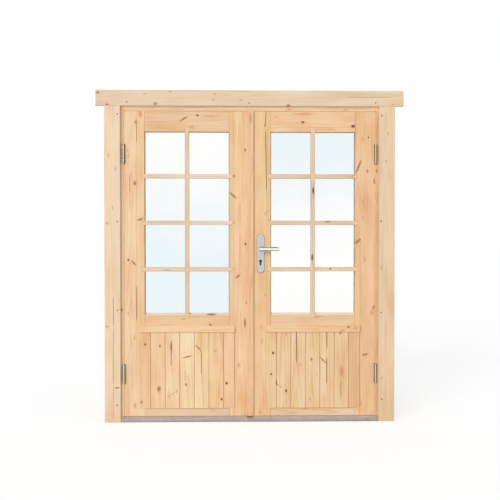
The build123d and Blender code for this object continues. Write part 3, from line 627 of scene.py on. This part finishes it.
# the glazed opening's sides and levels, then the bars' middle, half width and the strip that stays warm
barLook = {"sight": (0.122, 0.622), "sightLevels": (0.640, 1.714), "upright": 0.372, "half": 0.013,
           "cover": 0.03, "pithDrop": 0.008, "pithDepth": 0.06}
for leafName, way in (("left", -1), ("right", 1)):
    near, far = (way * edge for edge in barLook["sight"])
    lowSight, highSight = barLook["sightLevels"]
    upright, half, cover = way * barLook["upright"], barLook["half"], barLook["cover"]
    uprightLow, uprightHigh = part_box(f"{leafName}_vertical_bar")
    crossings = [(upright, uprightLow.z, upright, lowSight, cover),
                 (upright, highSight, upright, uprightHigh.z, cover)]
    for levelName in ("lower", "middle", "upper"):
        barName = f"{leafName}_{levelName}_cross_bar"
        low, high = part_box(barName)
        level = (low.z + high.z) / 2
        nearEnd, farEnd = (high.x, low.x) if way < 0 else (low.x, high.x)
        crossings.append((upright, level - half, upright, level + half, cover))
        timberLooks[barName] = {
            "tones": "bar", "grain": "x", "pith": (low.z - barLook["pithDrop"], barLook["pithDepth"]),
            "warm": [(nearEnd, level, near, level, cover), (far, level, farEnd, level, cover),
                     (upright - half, level, upright + half, level, cover)],
            **crossBarMarks.get(f"{leafName}_{levelName}", {})}
    timberLooks[f"{leafName}_vertical_bar"]["warm"] = crossings
seedLook = {"first": 1.7, "step": 2.31}
for number, (name, look) in enumerate(timberLooks.items()):
    look["seed"] = seedLook["first"] + number * seedLook["step"]
    dress(nodes[name], timber(name.replace("_", " "), look))
    eased(nodes[name], arrisLook["timber"])
print("timber dressed:", len(timberLooks), "pieces")


# metal

metalLooks = {
    "zinc": {"tone": paint(194, 190, 180), "dull": paint(160, 154, 143), "rough": 0.38,
             "cloud": (90, 90, 90)},
    "steel": {"tone": paint(178, 178, 178), "dull": paint(120, 118, 114), "rough": 0.34,
              "cloud": (60, 60, 400)},
    "satin_handle": {"tone": paint(200, 207, 211), "dull": paint(166, 174, 179), "rough": 0.30,
                     "cloud": (20, 20, 900)},
    "threshold_metal": {"tone": paint(226, 214, 201), "dull": paint(192, 181, 169), "rough": 0.42,
                        "cloud": (3, 500, 500), "levelTop": 0.03,  # painted shade, darkest at the foot and on the front, with the top painted lighter
                        "levels": [(0.0, (0.23, 0.26, 0.30)), (0.1, (0.45, 0.50, 0.57)),
                                   (0.5, (0.53, 0.56, 0.62)), (0.64, (0.85, 0.88, 0.95))]},
    "cylinder_brass": {"tone": paint(76, 80, 83), "dull": paint(46, 49, 52), "rough": 0.42,
                       "cloud": (200, 200, 200)},
    "nail": {"tone": paint(142, 110, 86), "dull": paint(108, 80, 60), "rough": 0.5,
             "cloud": (300, 300, 300)},
}
sheenLooks = {  # painted sheen across a bar: a painted highlight along the middle of the hinges and lever with painted shade at their sides, and lighter sides on the handle plate
    "hinge": {"like": "zinc", "along": "x", "middle": 0.744, "half": 0.0075, "bright": (0.05, 0.42),
              "tone": paint(240, 232, 216), "dull": paint(122, 112, 94), "levelTop": 1.955,
              "levels": [(0.3, plain), (0.6, (0.78, 0.72, 0.62))]},  # the upper hinges are darker and browner
    "lever": {"like": "satin_handle", "along": "z", "middle": 1.022, "half": 0.0105, "bright": (0.3, 0.85),
              "tone": paint(238, 238, 230), "dull": paint(118, 120, 110)},
    "handle_plate": {"like": "satin_handle", "along": "x", "middle": 0.062, "half": 0.022,
                     "bright": (0.5, 1.05), "tone": paint(177, 184, 185), "dull": paint(208, 196, 180)},
}
wearLook = {"cloudNoise": (4.0, 0.6), "grimeNoise": ((26.0, 26.0, 26.0), 5.0, 0.65), "cloud": 0.6,
            "grime": 0.4, "range": (0.35, 0.72), "underSheen": 0.35, "cloudRough": 0.22, "grimeRough": 0.1,
            "grimeHeight": 0.5, "bump": 0.12, "bumpDepth": 0.0003}


def metal(name, look):
    material, bench = newFinish(name)
    place = bench.node("TexCoord", out="Object")
    cloud = noise(place, look["cloud"], *wearLook["cloudNoise"])
    grime = noise(place, *wearLook["grimeNoise"])
    wearAndSheen = ease(cloud * wearLook["cloud"] + grime * wearLook["grime"], *wearLook["range"])
    # painted sheen across a bar, mixed with the wear
    if "along" in look:
        fromMiddle = distance(distance(axisOf(place, look["along"])) - look["middle"]) / look["half"]
        wearAndSheen = most(wearAndSheen * wearLook["underSheen"], ease(fromMiddle, *look["bright"]))
    colour = mixed(wearAndSheen, look["tone"], look["dull"])
    # colour scaled by height: painted shade and light on the threshold, and darker upper hinges
    if "levels" in look:
        level = axisOf(place, "z") / look["levelTop"]
        shades = [(spot, shade + (1.0,)) for spot, shade in look["levels"]]
        colour = multiplied(colour, level.node("ValToRGB", {"stops": shades}, {"Fac": level}))
    rough = look["rough"] + (cloud - 0.5) * wearLook["cloudRough"] + (grime - 0.5) * wearLook["grimeRough"]
    normal = cloud.node("Bump", {}, {"Strength": wearLook["bump"], "Distance": wearLook["bumpDepth"],
                                     "Height": cloud + grime * wearLook["grimeHeight"]})
    shader = bench.node("BsdfPrincipled", {}, {"Base Color": colour, "Metallic": 1.0, "Roughness": rough,
                                               "Normal": normal})
    bench.node("OutputMaterial", {}, {"Surface": shader})
    return material


metals = {name: metal(name.replace("_", " "), look) for name, look in metalLooks.items()}
sheenFinishes = {name: metal(name.replace("_", " ") + " worn bright", {**metalLooks[look["like"]], **look})
          for name, look in sheenLooks.items()}
for node, slotName in slotOf.items():
    if slotName in metals:
        wearAndSheen = [sheenFinishes[word] for word in sheenFinishes if word in node]
        dress(nodes[node], wearAndSheen[0] if wearAndSheen else metals[slotName])
        eased(nodes[node], arrisLook["metal"])
print("metal dressed")


# glass and its seals

glassLook = {"clear": paint(254, 254, 253), "cool": paint(235, 246, 250), "wave": 0.88,
             "waveNoise": ((3.2, 3.2, 2.6), 2.0, 0.5), "film": 0.03,
             "filmNoise": ((14.0, 14.0, 9.0), 5.0, 0.7), "filmRange": (0.5, 0.9), "ior": 1.45,
             "left": (1.62, 0.95), "right": (1.02, 1.62)}  # heights where the painted reflection turns from clear to cool
sealLook = {"tone": paint(178, 172, 160), "dull": paint(146, 139, 127), "rough": 0.6,
            "paintedLightTone": paint(234, 219, 195), "paintedLightLevels": (0.641, 0.652, 1.7075, 1.7105)}


def windowGlass(name, clearLevel, coolLevel):
    material, bench = newFinish(name)
    place = bench.node("TexCoord", out="Object")
    wave = (noise(place, *glassLook["waveNoise"]) - 0.5) * glassLook["wave"]
    # painted reflection: the glass tinted from clear to cool by height, with a wavy edge
    cool = ease((axisOf(place, "z") - clearLevel) / (coolLevel - clearLevel) + wave, 0.0, 1.0)
    film = ease(noise(place, *glassLook["filmNoise"]), *glassLook["filmRange"])
    shader = bench.node("BsdfPrincipled", {}, {
        "Base Color": mixed(cool, glassLook["clear"], glassLook["cool"]),
        "Roughness": film * glassLook["film"], "IOR": glassLook["ior"], "Transmission Weight": 1.0})
    bench.node("OutputMaterial", {}, {"Surface": shader})
    return material


rubberLook = {"smearNoise": ((40.0, 40.0, 40.0), 4.0, 0.6), "smearRange": (0.35, 0.7), "smearRough": 0.2,
              "gritNoise": ((900.0, 900.0, 900.0), 2.0, 0.5), "bump": 0.2, "bumpDepth": 0.0003}


def rubber(name, look):
    material, bench = newFinish(name)
    place = bench.node("TexCoord", out="Object")
    smear = noise(place, *rubberLook["smearNoise"])
    grit = noise(place, *rubberLook["gritNoise"])
    normal = grit.node("Bump", {}, {"Strength": rubberLook["bump"], "Distance": rubberLook["bumpDepth"],
                                    "Height": grit + smear})
    colour = mixed(ease(smear, *rubberLook["smearRange"]), look["tone"], look["dull"])
    if "paintedLightTone" in look:  # painted light on the seal along the sill and under the top rail
        level = axisOf(place, "z")
        between = ease(level, *look["paintedLightLevels"][:2]) * (1 - ease(level, *look["paintedLightLevels"][2:]))
        colour = mixed(between, look["paintedLightTone"], colour)
    rough = look["rough"] + (smear - 0.5) * rubberLook["smearRough"]
    shader = bench.node("BsdfPrincipled", {}, {"Base Color": colour, "Roughness": rough, "Normal": normal})
    bench.node("OutputMaterial", {}, {"Surface": shader})
    return material


sealFinish = rubber("glazing seal", sealLook)
for leafName in ("left", "right"):
    dress(nodes[f"{leafName}_glass"], windowGlass(f"{leafName} window glass", *glassLook[leafName]))
    dress(nodes[f"{leafName}_glazing_seal"], sealFinish)
    eased(nodes[f"{leafName}_glazing_seal"], arrisLook["seal"])
print("glass dressed")


def added(name, mesh, material, body):  # a made mesh becomes a piece that rides on a body
    data = bpy.data.meshes.new(name)
    mesh.to_mesh(data)
    mesh.free()
    piece = bpy.data.objects.new(name, data)
    bpy.context.scene.collection.objects.link(piece)
    dress(piece, material)
    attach(piece, body)
    return piece


# soft lips in the gaps round the leaves

lipLook = {"tone": paint(240, 204, 164), "dull": paint(226, 188, 147), "rough": 0.62, "reach": 0.0034,
           "half": 0.0034, "middle": 0.0026, "endGap": 0.002, "hingeGap": 0.003, "steps": 11}


def bulbStrips(name, runs, body):  # half rounds, each run with its two ends and the way that it swells
    mesh = bmesh.new()
    steps = lipLook["steps"]
    angles = [math.pi * (step / (steps - 1) - 0.5) for step in range(steps)]
    for first, last, swell in runs:
        rings = [[mesh.verts.new(Vector(end) + Vector(swell) * lipLook["reach"] * math.cos(angle)
                                 + Vector(inward) * lipLook["half"] * math.sin(angle)) for angle in angles]
                 for end in (first, last)]
        for step in range(steps):
            ahead = (step + 1) % steps
            mesh.faces.new((rings[0][step], rings[0][ahead], rings[1][ahead], rings[1][step]))
        mesh.faces.new(rings[0])
        mesh.faces.new(rings[1])
    bmesh.ops.recalc_face_normals(mesh, faces=mesh.faces)
    added(name, mesh, lipFinish, body)


lipFinish = rubber("weather lip", lipLook)
lipDepth, endGap = lipLook["middle"], lipLook["endGap"]
edgeLow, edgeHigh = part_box("right_meeting_stile")
meetingEnds = [(edgeLow.x, lipDepth, level) for level in (edgeLow.z + endGap, edgeHigh.z - endGap)]
bulbStrips("meeting_lip", [(*meetingEnds, (-1, 0, 0))], "right_leaf")
frameRuns = []
for leafName, way in (("left", 1), ("right", -1)):
    stileLow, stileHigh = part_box(f"{leafName}_hinge_stile")
    jambFace = stileLow.x - leafGap if way > 0 else stileHigh.x + leafGap
    level = stileLow.z
    for levelName in ("lower", "upper"):
        halves = [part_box(f"{leafName}_{levelName}_hinge_{half}_half") for half in ("leaf", "frame")]
        hingeLow = min(low.z for low, high in halves) - lipLook["hingeGap"]
        hingeHigh = max(high.z for low, high in halves) + lipLook["hingeGap"]
        frameRuns.append(((jambFace, lipDepth, level), (jambFace, lipDepth, hingeLow), (way, 0, 0)))
        level = hingeHigh
    frameRuns.append(((jambFace, lipDepth, level), (jambFace, lipDepth, stileHigh.z), (way, 0, 0)))
    meetingLow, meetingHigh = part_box(f"{leafName}_meeting_stile")
    edges = sorted((stileLow.x, stileHigh.x, meetingLow.x, meetingHigh.x))
    bottomEnds = [(x, lipDepth, stileLow.z) for x in (edges[0] + endGap, edges[-1] - endGap)]
    bulbStrips(f"{leafName}_bottom_lip", [(*bottomEnds, (0, 0, -1))], f"{leafName}_leaf")
headFace = edgeHigh.z + leafGap
frameRuns.append(((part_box("left_hinge_stile")[0].x, lipDepth, headFace),
                  (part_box("right_hinge_stile")[1].x, lipDepth, headFace), (0, 0, -1)))
bulbStrips("frame_lips", frameRuns, "frame")
print("weather lips made")


# small fasteners

headProfile = [(1.0, -0.6), (1.0, 0.25), (0.93, 0.62), (0.78, 0.86), (0.55, 0.96), (0.30, 1.0), (0.12, 1.0)]
headLook = {"spokes": 24, "turn": 0.7, "crossMiddle": 0.2, "crossArm": 0.6, "armStep": 6}


def turnedHeads(name, look, spots, material, body):  # spots pair a place with the way it faces
    mesh = bmesh.new()
    recess = look.get("recess", 0.0)
    spokes = headLook["spokes"]
    for count, (spot, facing) in enumerate(spots):
        turn = Vector((0, 0, 1)).rotation_difference(Vector(facing)).to_matrix().to_4x4()
        local = Matrix.Translation(spot) @ turn @ Matrix.Rotation(headLook["turn"] * count, 4, "Z")
        rings = []
        for share, rise in headProfile:
            ring = []
            for spoke in range(spokes):
                angle = 2 * math.pi * spoke / spokes
                inArm = share < headLook["crossArm"] and spoke % headLook["armStep"] == 0
                inCross = share < headLook["crossMiddle"] or inArm
                ring.append(mesh.verts.new(local @ Vector((math.cos(angle) * share * look["radius"],
                                                           math.sin(angle) * share * look["radius"],
                                                           rise * look["height"] - recess * inCross))))
            rings.append(ring)
        for outer, inner in zip(rings, rings[1:]):
            for spoke in range(spokes):
                ahead = (spoke + 1) % spokes
                mesh.faces.new((outer[spoke], outer[ahead], inner[ahead], inner[spoke]))
        mesh.faces.new(rings[-1])
        mesh.faces.new(list(reversed(rings[0])))
    piece = added(name, mesh, material, body)
    for face in piece.data.polygons:
        face.use_smooth = len(face.vertices) == 4


nailLook = {"radius": 0.0046, "height": 0.0010, "places": [
    (-0.778, 1.814), (-0.779, 1.183), (-0.779, 0.662), (-0.784, 0.102), (0.777, 1.808), (0.775, 1.186),
    (0.776, 0.646), (0.781, 0.132), (-0.723, 1.884), (-0.006, 1.880), (0.740, 1.884)]}
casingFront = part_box("left_casing")[0].y
turnedHeads("casing_nail_heads", nailLook, [((x, casingFront, z), outward) for x, z in nailLook["places"]],
            metals["nail"], "frame")

plateScrewLook = {"radius": 0.0040, "height": 0.0012, "recess": 0.0011, "inset": 0.013}
for handleSide, facing in (("outer", outward), ("inner", inward)):
    low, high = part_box(f"{handleSide}_handle_plate")
    face = low.y if facing == outward else high.y
    middle = (low.x + high.x) / 2
    turnedHeads(f"{handleSide}_plate_screws", plateScrewLook,
                [((middle, face, low.z + plateScrewLook["inset"]), facing),
                 ((middle, face, high.z - plateScrewLook["inset"]), facing)],
                metals["satin_handle"], "right_leaf")

flapScrewLook = {"radius": 0.0034, "height": 0.0004, "recess": 0.0009,
                 "rows": ((-0.042, 0.014), (0.0, 0.025), (0.042, 0.014))}  # rise and depth of each screw
for leafName, way in (("left", 1), ("right", -1)):
    stileLow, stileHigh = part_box(f"{leafName}_hinge_stile")
    leafEdge = stileLow.x if way > 0 else stileHigh.x
    for half, body, face, turn in (("frame", "frame", leafEdge - way * leafGap, way),
                                   ("leaf", f"{leafName}_leaf", leafEdge, -way)):
        spots = []
        for levelName in ("upper", "lower"):
            leafHalf, frameHalf = (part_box(f"{leafName}_{levelName}_hinge_{side}_half")
                                   for side in ("leaf", "frame"))
            level = (leafHalf[1].z + frameHalf[0].z) / 2
            for rise, inset in flapScrewLook["rows"]:
                spots.append(((face, inset, level + rise), (turn, 0, 0)))
        turnedHeads(f"{leafName}_{half}_flap_screws", flapScrewLook, spots, metals["zinc"], body)

edgeScrewLook = {"radius": 0.0036, "height": 0.0004, "recess": 0.0009, "inset": 0.012}
for node, body, way in (("lock_case", "right_leaf", -1), ("strike_plate", "left_leaf", 1)):
    low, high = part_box(node)
    face = low.x if way < 0 else high.x
    middle = (low.y + high.y) / 2
    turnedHeads(f"{node}_screws", edgeScrewLook,
                [((face, middle, low.z + edgeScrewLook["inset"]), (way, 0, 0)),
                 ((face, middle, high.z - edgeScrewLook["inset"]), (way, 0, 0))],
                metals["steel"], body)

guideScrewLook = {"radius": 0.0032, "height": 0.0011, "recess": 0.0009, "plate": 0.002, "inset": 0.005,
                  "rise": 0.036}
for levelName in ("upper", "lower"):
    low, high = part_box(f"{levelName}_bolt_guide")
    level = (low.z + high.z) / 2
    spots = [((x, low.y + guideScrewLook["plate"], level + step * guideScrewLook["rise"]), inward)
             for x in (low.x + guideScrewLook["inset"], high.x - guideScrewLook["inset"])
             for step in (-1, 0, 1)]
    turnedHeads(f"{levelName}_guide_screws", guideScrewLook, spots, metals["steel"], "left_leaf")

beadPinLook = {"radius": 0.0013, "height": 0.0003, "inset": 0.007, "sideCount": 6, "endCount": 3}
for leafName in ("left", "right"):
    low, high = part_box(f"{leafName}_glazing_beads")
    inset = beadPinLook["inset"]
    spots = []
    for step in range(beadPinLook["sideCount"]):
        level = low.z + (high.z - low.z) * (step + 0.5) / beadPinLook["sideCount"]
        spots += [((x, high.y, level), inward) for x in (low.x + inset, high.x - inset)]
    for step in range(beadPinLook["endCount"]):
        run = low.x + (high.x - low.x) * (step + 0.5) / beadPinLook["endCount"]
        spots += [((run, high.y, z), inward) for z in (low.z + inset, high.z - inset)]
    turnedHeads(f"{leafName}_bead_pins", beadPinLook, spots, metals["steel"], f"{leafName}_leaf")
print("fasteners made")


# stage

studioLook = {"ambient": 0.62, "sunStrength": 1.68, "sunSoftness": 40.0, "sunFrom": (-0.5, -1.0, 0.35)}
floorLook = {"albedo": 0.6, "glow": 0.528, "speck": 1.02, "speckNoise": ((40.0, 40.0, 40.0), 3.0, 0.5),
             "half": 60.0, "front": -30.0, "back": 90.0, "drop": 0.0004}
white = (1.0, 1.0, 1.0, 1.0)


def seenDirectly(bench):  # 1 for what the camera sees, also in metal and through glass
    path = bench.node("LightPath", out="Is Camera Ray")
    return most(most(path, path.other("Is Glossy Ray")), path.other("Is Transmission Ray"))


world = bpy.data.worlds.new("studio")
bpy.context.scene.world = world
world.use_nodes = True
world.node_tree.nodes.clear()
worldBench = Wire(world.node_tree)
glow = worldBench.node("Background", {}, {
    "Color": white,
    "Strength": seenDirectly(worldBench) * (1 - studioLook["ambient"]) + studioLook["ambient"]})
worldBench.node("OutputWorld", {}, {"Surface": glow})

sunData = bpy.data.lights.new("key", "SUN")
sunData.energy = studioLook["sunStrength"]
sunData.angle = math.radians(studioLook["sunSoftness"])
sun = bpy.data.objects.new("key", sunData)
sun.rotation_euler = Vector(studioLook["sunFrom"]).to_track_quat("Z", "Y").to_euler()
bpy.context.scene.collection.objects.link(sun)

half, front, back = floorLook["half"], floorLook["front"], floorLook["back"]
floorMesh = bpy.data.meshes.new("floor")
corners = [(-half, front, 0), (half, front, 0), (half, back, 0), (-half, back, 0)]
floorMesh.from_pydata(corners, [], [(0, 1, 2, 3)])
floor = bpy.data.objects.new("floor", floorMesh)
floor.location.z = cadBox[0][2] - floorLook["drop"]
bpy.context.scene.collection.objects.link(floor)
floorFinish, floorBench = newFinish("pale floor")
floorSpeck = noise(floorBench.node("TexCoord", out="Object"), *floorLook["speckNoise"])
floorTones = [(floorLook["albedo"] * share,) * 3 + (1.0,) for share in (1.0, floorLook["speck"])]
floorBase = floorBench.node("BsdfDiffuse", {}, {"Color": mixed(floorSpeck, *floorTones)})
floorGlow = floorBench.node("Emission", {}, {"Color": white, "Strength": floorLook["glow"]})
floorLit = floorBench.node("AddShader", {}, {0: floorBase, 1: floorGlow})
floorBench.node("OutputMaterial", {}, {"Surface": floorBench.node(
    "MixShader", {}, {0: seenDirectly(floorBench), 1: floorBase, 2: floorLit})})
dress(floor, floorFinish)

cameraLook = {"place": (-0.095, -4.5, 1.086), "tilt": -0.89, "turn": -1.21, "lens": 54.76, "sensor": 36.0}
cameraData = bpy.data.cameras.new("camera")
cameraData.sensor_width = cameraLook["sensor"]
cameraData.lens = cameraLook["lens"]
camera = bpy.data.objects.new("camera", cameraData)
camera.location = cameraLook["place"]
camera.rotation_euler = (math.radians(90 + cameraLook["tilt"]), 0, math.radians(cameraLook["turn"]))
bpy.context.scene.collection.objects.link(camera)
bpy.context.scene.camera = camera
bpy.context.scene.view_settings.view_transform = "Standard"
print("stage set")
